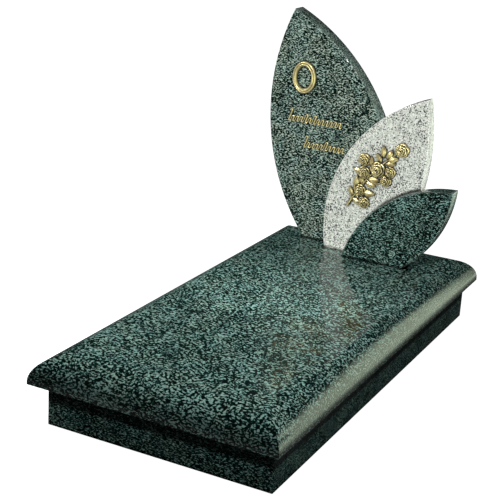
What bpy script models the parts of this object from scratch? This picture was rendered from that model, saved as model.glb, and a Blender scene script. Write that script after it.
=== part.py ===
"""A family grave monument in polished granite, at real size in metres.

A low kerb of four stones carries a covering slab with a moulded edge. At the head of the
slab stand three leaf-shaped stones, one behind the other: a tall dark one, a white one and
a small dark one. The tall leaf has an oval bronze photo frame and two rows of gilt strokes,
and the white leaf a cast bronze spray of roses. X is across, +Y is the head, +Z is up.
"""

import math
from collections import namedtuple

import bmesh
import bpy
from mathutils import Vector

# Clearance between stones that touch
JOINT_GAP = 0.0003

# Covering slab
SLAB_WIDTH = 0.90
SLAB_LENGTH = 1.85
SLAB_THICKNESS = 0.10
SLAB_BAND = 0.010
SLAB_MOULDING = 0.12
SLAB_STEPS = 14

# Kerb stones
KERB_HEIGHT = 0.155
KERB_WALL = 0.08
KERB_INSET_SIDE = 0.040
KERB_INSET_FOOT = 0.060
KERB_INSET_HEAD = 0.040
HEAD_BLOCK_DEPTH = 0.505
KERB_ARRIS = 0.003

# Headstone leaves. A leaf's outline is given in shares of the headstone's height over the
# slab: tip and root are (x, height), and a root lies below the slab because each leaf is cut
# off flat there. A bulge is how far an arc stands out from the line between root and tip.
HEADSTONE_HEIGHT = 0.9445
TALL_THICKNESS = 0.075
FRONT_THICKNESS = 0.065
Leaf = namedtuple("Leaf", "tip root bulge_left bulge_right thickness")
TALL = Leaf((-0.3864, 1.0), (0.0169, -0.2541), 0.2573, 0.2863, TALL_THICKNESS)
WHITE = Leaf((0.2647, 0.7088), (-0.0413, -0.2308), 0.2449, 0.1352, FRONT_THICKNESS)
SMALL = Leaf((0.4362, 0.3626), (-0.0434, -0.1027), 0.1336, 0.1325, FRONT_THICKNESS)
HEADSTONE_SETBACK = 0.130
LEAF_ARRIS = 0.004
LEAF_STEPS = 30

# Oval photo frame, placed from the tall leaf's tip. Its section runs from the outer foot over
# the crest to the inner foot, as (share of the rim's width, share of its depth).
FRAME_WIDTH = 0.104
FRAME_HEIGHT = 0.130
FRAME_RIM = 0.019
FRAME_DEPTH = 0.014
FRAME_FROM_TIP = (0.063, -0.271)
FRAME_SECTION = [
    (1.0, 0.0), (1.0, 0.25), (0.9, 0.62), (0.68, 0.92), (0.42, 1.0),
    (0.2, 0.88), (0.06, 0.6), (0.0, 0.3), (0.0, 0.0),
]
FRAME_STEPS = 44

# Gilt rows. A row starts at shares (x, height) of the headstone's height, and its tall turns
# are the ones that rise higher.
Row = namedtuple("Row", "start strokes tall_turns")
UPPER_ROW = Row((-0.3928, 0.5172), 26, (0, 4, 6))
LOWER_ROW = Row((-0.3102, 0.4092), 20, (0, 5))
STROKE_PITCH = 0.0095
STROKE_SLANT = math.radians(20)
STROKE_HEIGHT = 0.021
FIRST_STROKE_HEIGHT = 0.047
TALL_STROKE_HEIGHT = 0.034
STROKE_WIDE = 0.0042
STROKE_NARROW = 0.0024
STROKE_DEPTH = 0.003
STROKE_CREST = 0.45
TURN_STEPS = 4

# Bronze spray, placed from the white leaf's tip
SPRAY_LENGTH = 0.346
SPRAY_LEAN = math.radians(39)
SPRAY_FOOT_FROM_TIP = (-0.293, -0.4735)
SPRAY_DEPTH = 0.026
STEM_RADIUS = 0.0034

# The spray's make-up, as shares of its length: along it, aside to its left, and a size.
# A bloom's turn spins it, and a leaf's turn is the angle from the spray's own direction.
Spot = namedtuple("Spot", "along aside size turn")
BLOOMS = [
    Spot(0.98, 0.00, 0.085, 0.2),
    Spot(0.56, 0.23, 0.078, 0.9),
    Spot(0.60, 0.045, 0.098, 0.5),
    Spot(0.69, -0.08, 0.068, 0.1),
    Spot(0.58, -0.115, 0.072, 1.1),
    Spot(0.45, 0.13, 0.080, 0.7),
    Spot(0.26, 0.02, 0.076, 0.3),
    Spot(0.19, -0.11, 0.074, 0.8),
]
LEAVES = [
    Spot(0.76, 0.10, 0.13, 0.75),
    Spot(0.70, 0.08, 0.11, 1.35),
    Spot(0.78, 0.055, 0.12, 0.15),
    Spot(0.77, 0.03, 0.13, -0.55),
    Spot(0.72, 0.02, 0.12, -0.75),
    Spot(0.56, 0.12, 0.13, 0.75),
    Spot(0.43, 0.04, 0.15, -0.85),
    Spot(0.38, 0.03, 0.13, -1.15),
    Spot(0.44, 0.13, 0.14, 2.0),
    Spot(0.24, 0.08, 0.15, 0.55),
    Spot(0.27, -0.02, 0.15, -0.95),
    Spot(0.12, 0.01, 0.13, -1.35),
    Spot(0.33, 0.05, 0.12, 0.9),
    Spot(0.15, 0.04, 0.11, 1.2),
]
# Each twig leaves the main stem at a share of its run and ends at (along, aside).
Twig = namedtuple("Twig", "start end")
TWIGS = [
    Twig(0.10, (0.27, 0.10)),
    Twig(0.18, (0.19, -0.11)),
    Twig(0.30, (0.45, 0.13)),
    Twig(0.40, (0.58, -0.115)),
    Twig(0.40, (0.56, 0.23)),
    Twig(0.52, (0.69, -0.08)),
    Twig(0.66, (0.80, 0.14)),
]
STEM_BOW = 0.055
STEM_GIRTH = 1.25
STEM_TAPER = 0.35
STEM_SIDES = 6
STEM_STEPS = 10
# A bloom's tiers, as (share of its radius, share of the depth, turn of the lobes in half turns)
BLOOM_TIERS = [
    (1.00, 0.00, 0.0), (1.00, 0.22, 0.0), (0.86, 0.42, 0.0), (0.58, 0.34, 0.0),
    (0.64, 0.66, 0.5), (0.54, 0.76, 0.5), (0.36, 0.62, 0.5), (0.38, 0.92, 0.0),
    (0.28, 1.00, 0.0), (0.12, 0.70, 0.0),
]
BLOOM_STEPS = 20
PETALS = 5
LOBE_DEPTH = 0.20
# A leaf's stations, as (share of its length, share of its half width, share of the depth)
LEAF_STATIONS = [
    (-0.08, 0.3, 0.30), (0.18, 0.78, 0.44), (0.45, 1.0, 0.50), (0.75, 0.66, 0.40), (1.0, 0.06, 0.16),
]
LEAF_HALF_WIDTH = 0.27
LEAF_SHOULDER = 0.62

STONE_GREEN = (0.055, 0.085, 0.078)
STONE_WHITE = (0.56, 0.58, 0.54)
BRONZE = (0.62, 0.47, 0.20)

SLAB_UNDERSIDE = KERB_HEIGHT + JOINT_GAP
SLAB_TOP = SLAB_UNDERSIDE + SLAB_THICKNESS
LEAF_BASE = SLAB_TOP + JOINT_GAP
TALL_FRONT = SLAB_LENGTH / 2 - HEADSTONE_SETBACK - TALL.thickness
WHITE_FRONT = TALL_FRONT - JOINT_GAP - WHITE.thickness
SMALL_FRONT = WHITE_FRONT - JOINT_GAP - SMALL.thickness


def clear_scene():
    for obj in list(bpy.data.objects):
        bpy.data.objects.remove(obj, do_unlink=True)


def make_material(name, colour, roughness, metallic):
    material = bpy.data.materials.new(name)
    material.use_nodes = True
    shader = material.node_tree.nodes["Principled BSDF"]
    shader.inputs["Base Color"].default_value = (*colour, 1.0)
    shader.inputs["Roughness"].default_value = roughness
    shader.inputs["Metallic"].default_value = metallic
    return material


def granite(name, colour):
    return make_material(name, colour, 0.12, 0.0)


def bronze(name):
    return make_material(name, BRONZE, 0.25, 1.0)


def finish(name, bm, material, sharp_angle=math.radians(35)):
    """Turn a bmesh into a named object with its faces pointing out."""
    bmesh.ops.recalc_face_normals(bm, faces=bm.faces)
    mesh = bpy.data.meshes.new(name)
    bm.to_mesh(mesh)
    bm.free()
    mesh.materials.append(material)
    mesh.shade_smooth()
    mesh.set_sharp_from_angle(angle=sharp_angle)
    obj = bpy.data.objects.new(name, mesh)
    bpy.context.scene.collection.objects.link(obj)
    return obj


def bridge_rings(bm, rings):
    """Join closed rings of equal length, one after the other, and return their vertices."""
    made = [[bm.verts.new(point) for point in ring] for ring in rings]
    for lower, upper in zip(made[:-1], made[1:]):
        for i in range(len(lower)):
            j = (i + 1) % len(lower)
            bm.faces.new((lower[i], lower[j], upper[j], upper[i]))
    return made


def capped_rings(bm, rings):
    """A closed body through the rings, with a flat face on the first and on the last."""
    made = bridge_rings(bm, rings)
    bm.faces.new(reversed(made[0]))
    bm.faces.new(made[-1])


def kerb_stone(name, x_range, y_range):
    """A plain block on the ground with its four upright arrises taken off."""
    x0, x1 = x_range
    y0, y1 = y_range
    a = KERB_ARRIS
    plan = [
        (x0 + a, y0), (x1 - a, y0), (x1, y0 + a), (x1, y1 - a),
        (x1 - a, y1), (x0 + a, y1), (x0, y1 - a), (x0, y0 + a),
    ]
    bm = bmesh.new()
    capped_rings(bm, [[(x, y, z) for x, y in plan] for z in (0.0, KERB_HEIGHT)])
    return finish(name, bm, granite(name + "_granite", STONE_GREEN))


def kerb():
    """Four stones round an open bed: foot, two sides and the broad block under the headstone."""
    half_width = SLAB_WIDTH / 2 - KERB_INSET_SIDE
    foot = -SLAB_LENGTH / 2 + KERB_INSET_FOOT
    head = SLAB_LENGTH / 2 - KERB_INSET_HEAD
    block_front = head - HEAD_BLOCK_DEPTH
    inner = half_width - KERB_WALL
    side_run = (foot + KERB_WALL + JOINT_GAP, block_front - JOINT_GAP)
    kerb_stone("kerb_foot", (-half_width, half_width), (foot, foot + KERB_WALL))
    kerb_stone("kerb_left", (-half_width, -inner), side_run)
    kerb_stone("kerb_right", (inner, half_width), side_run)
    kerb_stone("kerb_head_block", (-half_width, half_width), (block_front, head))


def covering_slab():
    """Slab with a quarter-oval moulding on all four sides over a narrow upright band."""
    profile = [(0.0, 0.0)]
    rise = SLAB_THICKNESS - SLAB_BAND
    for step in range(SLAB_STEPS + 1):
        angle = math.pi / 2 * step / SLAB_STEPS
        inset = SLAB_MOULDING * (1 - math.cos(angle))
        profile.append((inset, SLAB_BAND + rise * math.sin(angle)))
    rings = []
    for inset, height in profile:
        x = SLAB_WIDTH / 2 - inset
        y = SLAB_LENGTH / 2 - inset
        z = SLAB_UNDERSIDE + height
        rings.append([(-x, -y, z), (x, -y, z), (x, y, z), (-x, y, z)])
    bm = bmesh.new()
    capped_rings(bm, rings)
    return finish("covering_slab", bm, granite("slab_granite", STONE_GREEN))


def headstone_point(share):
    """A place (x, height over the slab) from shares of the headstone's height."""
    return Vector(share) * HEADSTONE_HEIGHT


def arc_circle(root, tip, bulge, side):
    """Centre and radius of the arc from root to tip that stands out by bulge on one side."""
    half = (tip - root).length / 2
    radius = (half * half + bulge * bulge) / (2 * bulge)
    along = (tip - root).normalized()
    outward = Vector((along.y, -along.x)) * side
    return (root + tip) / 2 + outward * (bulge - radius), radius


def leaf_outline(leaf, inset):
    """Points (x, height over the slab) round a leaf, from its right foot over the tip."""
    root, tip = headstone_point(leaf.root), headstone_point(leaf.tip)
    bulge_left = leaf.bulge_left * HEADSTONE_HEIGHT
    bulge_right = leaf.bulge_right * HEADSTONE_HEIGHT
    right, right_radius = arc_circle(root, tip, bulge_right, 1)
    left, left_radius = arc_circle(root, tip, bulge_left, -1)
    right_radius -= inset
    left_radius -= inset
    apart = left - right
    reach = (right_radius**2 - left_radius**2 + apart.length_squared) / (2 * apart.length)
    across = apart.normalized()
    upward = Vector((across.y, -across.x))
    if upward.y < 0:
        upward.negate()
    tip = right + across * reach + upward * math.sqrt(right_radius**2 - reach**2)
    points = []
    foot_angle = math.asin(-right.y / right_radius)
    tip_angle = math.atan2(tip.y - right.y, tip.x - right.x)
    for step in range(LEAF_STEPS):
        angle = foot_angle + (tip_angle - foot_angle) * step / LEAF_STEPS
        points.append(right + right_radius * Vector((math.cos(angle), math.sin(angle))))
    tip_angle = math.atan2(tip.y - left.y, tip.x - left.x)
    foot_angle = math.pi - math.asin(-left.y / left_radius)
    for step in range(LEAF_STEPS + 1):
        angle = tip_angle + (foot_angle - tip_angle) * step / LEAF_STEPS
        points.append(left + left_radius * Vector((math.cos(angle), math.sin(angle))))
    return points


def leaf_stone(name, leaf, front, colour):
    """An upright leaf slab with its curved arrises taken off front and back."""
    sections = (
        (LEAF_ARRIS, front),
        (0.0, front + LEAF_ARRIS),
        (0.0, front + leaf.thickness - LEAF_ARRIS),
        (LEAF_ARRIS, front + leaf.thickness),
    )
    rings = []
    for inset, y in sections:
        outline = leaf_outline(leaf, inset)
        rings.append([(point.x, y, LEAF_BASE + point.y) for point in outline])
    bm = bmesh.new()
    capped_rings(bm, rings)
    return finish(name, bm, granite(name + "_granite", colour))


def photo_frame():
    """An oval bead of bronze, open in the middle, on the face of the tall leaf."""
    centre = headstone_point(TALL.tip) + Vector(FRAME_FROM_TIP)
    back = TALL_FRONT - JOINT_GAP
    rings = []
    for share, height in FRAME_SECTION:
        half_width = FRAME_WIDTH / 2 - FRAME_RIM * (1 - share)
        half_height = FRAME_HEIGHT / 2 - FRAME_RIM * (1 - share)
        ring = []
        for step in range(FRAME_STEPS):
            angle = 2 * math.pi * step / FRAME_STEPS
            x = centre.x + half_width * math.cos(angle)
            z = LEAF_BASE + centre.y + half_height * math.sin(angle)
            ring.append((x, back - FRAME_DEPTH * height, z))
        rings.append(ring)
    bm = bmesh.new()
    made = bridge_rings(bm, rings)
    for i in range(FRAME_STEPS):
        j = (i + 1) % FRAME_STEPS
        bm.faces.new((made[-1][i], made[-1][j], made[0][j], made[0][i]))
    return finish("photo_frame", bm, bronze("frame_bronze"), math.radians(60))


def row_path(row):
    """Centre line of a row: upright strokes joined by round turns, then slanted."""
    radius = STROKE_PITCH / 2
    path = []
    for stroke in range(row.strokes):
        turn = stroke // 2
        centre_x = (stroke + 0.5) * STROKE_PITCH
        if stroke % 2:
            centre_z, side = radius, -1
        else:
            height = STROKE_HEIGHT
            if turn in row.tall_turns:
                height = TALL_STROKE_HEIGHT if turn else FIRST_STROKE_HEIGHT
            centre_z, side = height - radius, 1
        for step in range(TURN_STEPS + 1):
            angle = math.pi * (1 - step / TURN_STEPS)
            x = centre_x + radius * math.cos(angle)
            path.append(Vector((x, centre_z + side * radius * math.sin(angle))))
    slant = math.tan(STROKE_SLANT)
    return [Vector((point.x + slant * point.y, point.y)) for point in path]


def gilt_row(name, row):
    """One joined ribbon of slanted strokes, broad on the way down and narrow on the way up."""
    path = row_path(row)
    start = headstone_point(row.start)
    back = TALL_FRONT - JOINT_GAP
    rings = []
    for i, point in enumerate(path):
        ahead = path[min(i + 1, len(path) - 1)] - path[max(i - 1, 0)]
        ahead.normalize()
        falling = 0.5 - 0.5 * ahead.y
        half = (STROKE_NARROW + (STROKE_WIDE - STROKE_NARROW) * falling) / 2
        normal = Vector((-ahead.y, ahead.x))
        ring = []
        crest = half * STROKE_CREST
        for side, depth in ((half, 0), (crest, 1), (-crest, 1), (-half, 0)):
            spot = start + point + normal * side
            ring.append((spot.x, back - STROKE_DEPTH * depth, LEAF_BASE + spot.y))
        rings.append(ring)
    bm = bmesh.new()
    capped_rings(bm, rings)
    return finish(name, bm, bronze(name + "_gilt"))


def spray_point(along, aside, lift=0.0):
    """A place on the white leaf's face, from shares along and aside, and a height off it."""
    run = Vector((math.sin(SPRAY_LEAN), math.cos(SPRAY_LEAN)))
    left = Vector((-run.y, run.x))
    foot = headstone_point(WHITE.tip) + Vector(SPRAY_FOOT_FROM_TIP)
    spot = foot + (run * along + left * aside) * SPRAY_LENGTH
    return Vector((spot.x, WHITE_FRONT - JOINT_GAP - lift, LEAF_BASE + spot.y))


def stem_spot(share):
    """Shares (along, aside) of the main stem, which bows to the left."""
    return share, STEM_BOW * math.sin(math.pi * share)


def stem_piece(spots, radius):
    """A rod through the spots that rests on the stone, thinner towards its end."""
    bm = bmesh.new()
    centres = [spray_point(along, aside, radius) for along, aside in spots]
    rings = []
    for i, centre in enumerate(centres):
        ahead = centres[min(i + 1, len(centres) - 1)] - centres[max(i - 1, 0)]
        side = ahead.cross(Vector((0, 1, 0))).normalized()
        out = Vector((0, -1, 0))
        thin = radius * (1 - STEM_TAPER * i / (len(centres) - 1))
        ring = []
        for step in range(STEM_SIDES):
            angle = 2 * math.pi * (step + 0.5) / STEM_SIDES
            ring.append(centre + side * thin * math.cos(angle) + out * thin * math.sin(angle))
        rings.append(ring)
    capped_rings(bm, rings)
    return bm


def bloom_piece(spot):
    """An open rose: three tiers of five lobes each, stepping up round a hollow heart."""
    radius = spot.size * SPRAY_LENGTH
    centre = spray_point(spot.along, spot.aside)
    bm = bmesh.new()
    rings = []
    for reach, height, phase in BLOOM_TIERS:
        ring = []
        for step in range(BLOOM_STEPS):
            angle = 2 * math.pi * step / BLOOM_STEPS
            lobe = abs(math.cos(PETALS / 2 * angle + phase * math.pi))
            spread = radius * reach * (1 - LOBE_DEPTH * (1 - lobe))
            turned = angle + spot.turn
            offset = Vector((spread * math.cos(turned), 0, spread * math.sin(turned)))
            ring.append(centre + offset - Vector((0, SPRAY_DEPTH * height, 0)))
        rings.append(ring)
    capped_rings(bm, rings)
    return bm


def spray_leaf_piece(spot):
    """A pointed leaf, thick on the stone, with a raised rib from its base to its tip."""
    length = spot.size * SPRAY_LENGTH
    half_width = length * LEAF_HALF_WIDTH
    direction = SPRAY_LEAN - spot.turn
    run = Vector((math.sin(direction), 0, math.cos(direction)))
    side = Vector((-run.z, 0, run.x))
    base = spray_point(spot.along, spot.aside)
    out = Vector((0, -1, 0))
    bm = bmesh.new()
    rings = []
    for along, width, height in LEAF_STATIONS:
        middle = base + run * along * length
        edge = side * half_width * width
        lift = out * SPRAY_DEPTH * height
        shoulder = lift * LEAF_SHOULDER
        ring = [middle - edge, middle + edge, middle + edge + shoulder]
        rings.append(ring + [middle + lift, middle - edge + shoulder])
    capped_rings(bm, rings)
    return bm


def bronze_spray():
    """One casting: stem, twigs, leaves and blooms joined by Boolean unions."""
    material = bronze("spray_bronze")
    main = [stem_spot(step / STEM_STEPS) for step in range(STEM_STEPS + 1)]
    spray = finish("bronze_spray", stem_piece(main, STEM_RADIUS * STEM_GIRTH), material)
    helpers = bpy.data.collections.new("spray_pieces")
    bpy.context.scene.collection.children.link(helpers)
    pieces = []
    for twig in TWIGS:
        start = stem_spot(twig.start)
        bend = ((start[0] * 2 + twig.end[0]) / 3, (start[1] + twig.end[1] * 2) / 3)
        pieces.append(stem_piece([start, bend, twig.end], STEM_RADIUS))
    pieces += [bloom_piece(spot) for spot in BLOOMS]
    pieces += [spray_leaf_piece(spot) for spot in LEAVES]
    for number, bm in enumerate(pieces):
        piece = finish(f"spray_piece_{number:02d}", bm, material)
        bpy.context.scene.collection.objects.unlink(piece)
        helpers.objects.link(piece)
        piece.hide_render = True
        piece.display_type = "WIRE"
    union = spray.modifiers.new("Casting", "BOOLEAN")
    union.operation = "UNION"
    union.operand_type = "COLLECTION"
    union.collection = helpers
    union.solver = "EXACT"
    return spray


def build():
    clear_scene()
    kerb()
    covering_slab()
    leaf_stone("tall_leaf", TALL, TALL_FRONT, STONE_GREEN)
    leaf_stone("white_leaf", WHITE, WHITE_FRONT, STONE_WHITE)
    leaf_stone("small_leaf", SMALL, SMALL_FRONT, STONE_GREEN)
    photo_frame()
    gilt_row("gilt_row_upper", UPPER_ROW)
    gilt_row("gilt_row_lower", LOWER_ROW)
    bronze_spray()


build()
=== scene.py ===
"""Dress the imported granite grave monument: fine stones, gilt bronze, light and camera.

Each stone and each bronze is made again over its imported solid, on the same outline, with
rounded arrises, a finer moulding and modelled roses. Units are metres. X is across, +Y is
the head of the grave, +Z is up.
"""

import math
from collections import namedtuple
from functools import wraps

import bmesh
import bpy
from bpy.props import FloatProperty, FloatVectorProperty, PointerProperty
from mathutils import Matrix, Vector, noise


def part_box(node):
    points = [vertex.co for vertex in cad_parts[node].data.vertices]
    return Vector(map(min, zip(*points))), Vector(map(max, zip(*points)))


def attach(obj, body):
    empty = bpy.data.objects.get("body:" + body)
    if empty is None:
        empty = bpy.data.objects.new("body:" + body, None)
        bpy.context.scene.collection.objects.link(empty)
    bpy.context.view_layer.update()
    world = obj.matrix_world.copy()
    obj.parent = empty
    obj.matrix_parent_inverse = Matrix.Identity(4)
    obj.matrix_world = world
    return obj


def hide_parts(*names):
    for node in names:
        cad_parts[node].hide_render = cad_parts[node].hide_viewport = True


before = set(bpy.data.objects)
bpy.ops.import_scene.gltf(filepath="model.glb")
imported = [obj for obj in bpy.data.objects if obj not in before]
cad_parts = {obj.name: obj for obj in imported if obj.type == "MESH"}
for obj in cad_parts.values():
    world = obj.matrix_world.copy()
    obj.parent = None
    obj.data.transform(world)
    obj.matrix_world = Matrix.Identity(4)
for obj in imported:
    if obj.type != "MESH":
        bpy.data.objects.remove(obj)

bl_info = {
    "name": "Granite Grave Monument",
    "version": (1, 0, 0),
    "blender": (4, 5, 0),
    "location": "3D View > Sidebar > Monument",
    "description": "Fine stones, gilt bronze, light and camera for the packed monument",
    "category": "Object",
}

# An edge stays crisp where its faces turn by more than this
STONE_SHARP = math.radians(40)
GILT_SHARP = math.radians(60)
SPRAY_SHARP = math.radians(65)

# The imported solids, as (lowest corner, highest corner)
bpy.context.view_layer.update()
SLAB_LOW, SLAB_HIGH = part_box("covering_slab")
TALL_LOW, TALL_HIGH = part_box("tall_leaf")
WHITE_LOW, WHITE_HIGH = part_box("white_leaf")
SMALL_LOW, SMALL_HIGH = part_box("small_leaf")
FRAME_LOW, FRAME_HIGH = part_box("photo_frame")
SPRAY_LOW, SPRAY_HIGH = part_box("bronze_spray")
LEAF_BASE = TALL_LOW.z
HEADSTONE_HEIGHT = TALL_HIGH.z - TALL_LOW.z

# Covering slab: a quarter-oval moulding over a narrow upright band
SLAB_BAND = 0.010
SLAB_MOULDING = 0.12
MOULDING_STEPS = 40
SLAB_ARRIS = 0.0015
FLAT_MARGIN = 0.004

# Headstone leaves, in shares of the headstone's height over the slab, as in the part's source
Leaf = namedtuple("Leaf", "node tip root bulge_left bulge_right low high")
TALL = Leaf("tall_leaf", (-0.3864, 1.0), (0.0169, -0.2541), 0.2573, 0.2863, TALL_LOW, TALL_HIGH)
WHITE = Leaf("white_leaf", (0.2647, 0.7088), (-0.0413, -0.2308), 0.2449, 0.1352, WHITE_LOW, WHITE_HIGH)
SMALL = Leaf("small_leaf", (0.4362, 0.3626), (-0.0434, -0.1027), 0.1336, 0.1325, SMALL_LOW, SMALL_HIGH)
LEAF_STEPS = 90
ARRIS_STEPS = 4

# Photo frame: its section from the outer foot over the crest to the inner foot, as
# (share of the rim's width, share of its depth)
FRAME_RIM = 0.019
FRAME_SECTION = [
    (1.0, 0.0), (1.0, 0.28), (0.93, 0.58), (0.76, 0.74), (0.60, 0.66), (0.52, 0.78),
    (0.36, 1.0), (0.18, 0.90), (0.05, 0.6), (0.0, 0.3), (0.0, 0.0),
]
FRAME_STEPS = 120
SECTION_STEPS = 3

# Gilt rows: joined slanted strokes, placed as shares (x, height) of the headstone's height
Row = namedtuple("Row", "node start strokes tall_turns")
UPPER_ROW = Row("gilt_row_upper", (-0.3928, 0.5172), 26, (0, 4, 6))
LOWER_ROW = Row("gilt_row_lower", (-0.3102, 0.4092), 20, (0, 5))
STROKE_PITCH = 0.0095
STROKE_SLANT = math.radians(20)
STROKE_HEIGHT = 0.021
FIRST_STROKE_HEIGHT = 0.047
TALL_STROKE_HEIGHT = 0.034
STROKE_WIDE = 0.0054
STROKE_NARROW = 0.0030
STROKE_DEPTH = 0.003
# A stroke's section across its width, as (share of the half width, share of the depth)
STROKE_SECTION = [
    (1.0, 0.0), (0.92, 0.55), (0.62, 0.9), (0.0, 1.0), (-0.62, 0.9), (-0.92, 0.55), (-1.0, 0.0),
]
TURN_STEPS = 10

# Bronze spray, placed from the white leaf's tip
SPRAY_LENGTH = 0.346
SPRAY_LEAN = math.radians(39)
SPRAY_FOOT_FROM_TIP = (-0.293, -0.4735)
SPRAY_DEPTH = SPRAY_HIGH.y - SPRAY_LOW.y
STEM_RADIUS = 0.0034

# The spray's make-up, as shares of its length: along it, aside to its left, and a size.
# A bloom's turn spins it, and a leaf's turn is the angle from the spray's own direction.
Spot = namedtuple("Spot", "along aside size turn")
BLOOMS = [
    Spot(0.98, 0.00, 0.085, 0.2),
    Spot(0.56, 0.23, 0.078, 0.9),
    Spot(0.60, 0.045, 0.098, 0.5),
    Spot(0.69, -0.08, 0.068, 0.1),
    Spot(0.58, -0.115, 0.072, 1.1),
    Spot(0.45, 0.13, 0.080, 0.7),
    Spot(0.26, 0.02, 0.076, 0.3),
    Spot(0.19, -0.11, 0.074, 0.8),
]
LEAVES = [
    Spot(0.76, 0.10, 0.13, 0.75),
    Spot(0.70, 0.08, 0.11, 1.35),
    Spot(0.78, 0.055, 0.12, 0.15),
    Spot(0.77, 0.03, 0.13, -0.55),
    Spot(0.72, 0.02, 0.12, -0.75),
    Spot(0.56, 0.12, 0.13, 0.75),
    Spot(0.43, 0.04, 0.15, -0.85),
    Spot(0.38, 0.03, 0.13, -1.15),
    Spot(0.44, 0.13, 0.14, 2.0),
    Spot(0.24, 0.08, 0.15, 0.55),
    Spot(0.27, -0.02, 0.15, -0.95),
    Spot(0.12, 0.01, 0.13, -1.35),
    Spot(0.33, 0.05, 0.12, 0.9),
    Spot(0.15, 0.04, 0.11, 1.2),
]
Twig = namedtuple("Twig", "start end")
TWIGS = [
    Twig(0.10, (0.27, 0.10)),
    Twig(0.18, (0.19, -0.11)),
    Twig(0.30, (0.45, 0.13)),
    Twig(0.40, (0.58, -0.115)),
    Twig(0.40, (0.56, 0.23)),
    Twig(0.52, (0.69, -0.08)),
    Twig(0.66, (0.80, 0.14)),
]
STEM_BOW = 0.055
STEM_GIRTH = 1.25
STEM_TAPER = 0.35
STEM_SIDES = 12
STEM_STEPS = 48
TWIG_STEPS = 16
THORNS = 9
THORN_LENGTH = 0.0042
THORN_SIDES = 6
# The first thorn's place and the stretch that holds them all, as shares of the stem
FIRST_THORN = 0.03
THORN_REACH = 0.55
# A thorn points to the side, off the stone and along the stem by these shares, and starts
# at this share of the stem's radius
THORN_ASIDE, THORN_OFF, THORN_AHEAD = 0.85, 0.35, 0.3
THORN_SINK = 0.7
# A thorn's stations, as (share of its length, half width as a share of its length)
THORN_STATIONS = [(0.0, 0.5), (0.4, 0.26), (1.0, 0.03)]

# A rose's tiers of petals. Reaches are shares of the bloom's radius, and heights shares of
# the spray's depth. The phase turns a tier by shares of one petal.
Tier = namedtuple("Tier", "petals inner outer foot crest lip phase")
PETAL_TIERS = [
    Tier(5, 0.40, 1.00, 0.16, 0.44, 0.26, 0.0),
    Tier(5, 0.28, 0.72, 0.44, 0.74, 0.58, 0.5),
    Tier(4, 0.12, 0.46, 0.64, 0.93, 0.82, 0.2),
    Tier(3, 0.04, 0.25, 0.70, 1.00, 0.95, 0.6),
]
PETAL_ACROSS = 10
PETAL_ALONG = 8
PETAL_THICKNESS = 0.0016
PETAL_OVERLAP = 1.22
PETAL_TUCK = 0.055
PETAL_CREST_AT = 0.74
# A petal's outer edge falls back by these shares with the square and the fourth power across it
PETAL_ROUNDING = (0.10, 0.16)
# Its waviness: its depth, and its waves across and along the petal
PETAL_WAVE = 0.06
WAVES_ACROSS, WAVES_ALONG = 1.6, 1.3
# Steps of the noise's third place from one bloom, tier and petal to the next
BLOOM_SEED, TIER_SEED, PETAL_SEED = 31.7, 7.3, 1.9
CALYX_REACH = 0.62
CALYX_HEIGHT = 0.42
BUD_REACH = 0.16
BUD_HEIGHT = 0.90
DOME_STEPS = 6
DOME_SIDES = 18
DOME_TOP = 0.04

# A leaf's stations, as (share of its length, share of its half width, share of the depth)
LEAF_STATIONS = [
    (-0.08, 0.12, 0.30), (0.18, 0.78, 0.44), (0.45, 1.0, 0.50), (0.75, 0.66, 0.40), (1.0, 0.04, 0.16),
]
LEAF_HALF_WIDTH = 0.27
LEAF_SHOULDER = 0.66
LEAF_ACROSS = 14
LEAF_STATION_STEPS = 8
LEAF_THICKNESS = 0.0020
LEAF_TEETH = 9
LEAF_VEINS = 6
TOOTH_DEPTH = 0.07
TEETH_FROM = 0.85
VEIN_HEIGHT = 0.030
VEIN_SLANT = 0.9
VEIN_SHARPNESS = 5
RIB_HEIGHT = 1.6
RIB_SHARPNESS = 7
LEAF_CUPPING = 1.3
LEAF_RIM_DROP = 0.05

# Camera, solved from the corners of slab and kerb
CAMERA_PLACE = (1.777, -3.85666, 1.87992)
CAMERA_AZIMUTH = math.radians(26.48)
CAMERA_PITCH = math.radians(18.74)
CAMERA_ROLL = math.radians(3.44)
CAMERA_FOCAL_PIXELS = 1246.457
IMAGE_WIDTH = 500
SENSOR_WIDTH = 36.0

# Stage. A lamp stands at its place and points at its target. The panel stands behind on the
# right, and its light fades in over PANEL_FADE from its left side.
Lamp = namedtuple("Lamp", "place target cone blend radius")
HEADSTONE_SPOT = Lamp((-0.15, -3.3, 1.8), (-0.05, 0.72, 0.68), math.radians(24), 0.30, 0.05)
SLAB_SPOT = Lamp((-0.3, 1.6, 5.5), (-0.12, -0.78, 0.25), math.radians(25), 0.75, 0.30)
SIDE_SPOT = Lamp((2.5, 0.75, 0.45), (0.15, 0.73, 0.72), math.radians(17), 0.5, 0.12)
GILT_SPOT = Lamp((-2.4, -1.4, 2.7), (0.0, 0.66, 0.75), math.radians(24), 0.30, 0.15)
PANEL_LOW = (1.0, 2.5, 0.0)
PANEL_HIGH = (2.8, 2.5, 1.9)
PANEL_TINT = (0.85, 1.0, 0.74)
PANEL_FADE = 0.40
FLOOR_HALF = 30.0
FLOOR_LEVEL = -0.001
FLOOR_ROUGHNESS = 0.9
FLOOR_CLOUD_SCALE = 0.8
FLOOR_CLOUD_STEP = (0.3, 0.7)
FLOOR_CLOUD_RANGE = (0.97, 1.0)
# The polish mirrors the bright floor only on the right, where it fades in over this step in X
MIRRORED_STEP = (0.52, 1.00)
PURE_WHITE = (1.0, 1.0, 1.0)

# In all that follows, a noise's scale is in waves a metre, a step is the (low, high) of a
# smooth step on a value, and a share multiplies what it is named for.

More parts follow.
